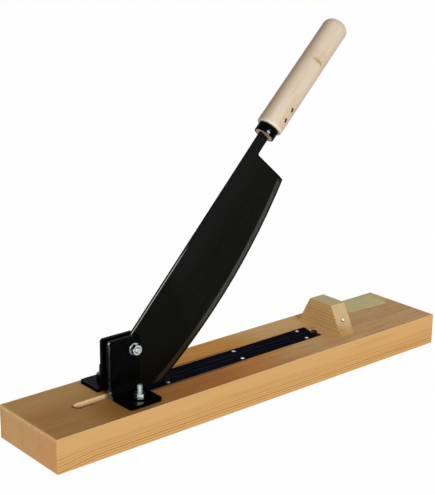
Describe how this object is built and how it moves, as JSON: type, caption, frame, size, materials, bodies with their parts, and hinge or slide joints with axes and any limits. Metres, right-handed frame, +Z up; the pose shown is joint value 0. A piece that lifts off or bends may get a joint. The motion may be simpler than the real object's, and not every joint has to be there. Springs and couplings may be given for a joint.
{
  "type": "lever fodder cutter",
  "caption": "Bench chopper: a long curved blade with a wooden handle, pivoted between two steel brackets on a board, cuts stalks against slotted steel bars.",
  "frame": {"origin": "middle of the board's underside", "axes": "+X along the board from the pivot's end to the handle's end, +Y to the back, +Z up"},
  "size_m": [0.68, 0.13, 0.4975],
  "materials": {
    "board_wood": "planed pine, satin",
    "block_wood": "sawn softwood",
    "handle_wood": "turned pale hardwood, smooth",
    "black_paint": "gloss black paint",
    "blade_paint": "gloss black paint, ground edge",
    "blued_steel": "dark blued steel",
    "zinc": "bright zinc plate",
    "pin_steel": "plain steel"
  },
  "bodies": {
    "base": {"base_board": "board_wood", "rest_block": "block_wood", "rest_block_nails": "zinc", "front_bracket": "black_paint", "rear_bracket": "black_paint", "foot_bolts": "zinc", "foot_bolt_head_washers": "zinc", "foot_nut_washers": "black_paint", "foot_nuts": "zinc", "front_counter_bar": "blued_steel", "rear_counter_bar": "blued_steel", "front_bar_screws": "zinc", "rear_bar_screws": "zinc", "pivot_bolt": "zinc", "pivot_head_washer": "zinc", "pivot_nut_washer": "zinc", "pivot_nut": "zinc", "front_blade_spacer": "zinc", "rear_blade_spacer": "zinc"},
    "lever": {"blade": "blade_paint", "ferrule": "black_paint", "handle": "handle_wood", "handle_pins": "pin_steel"}
  },
  "joints": [
    {"name": "lever_pivot", "type": "hinge", "parent": "base", "child": "lever", "pos_m": [-0.184, 0.001, 0.105], "axis": [0, -1, 0], "range_deg": [-47.2, 52.8]}
  ]
}
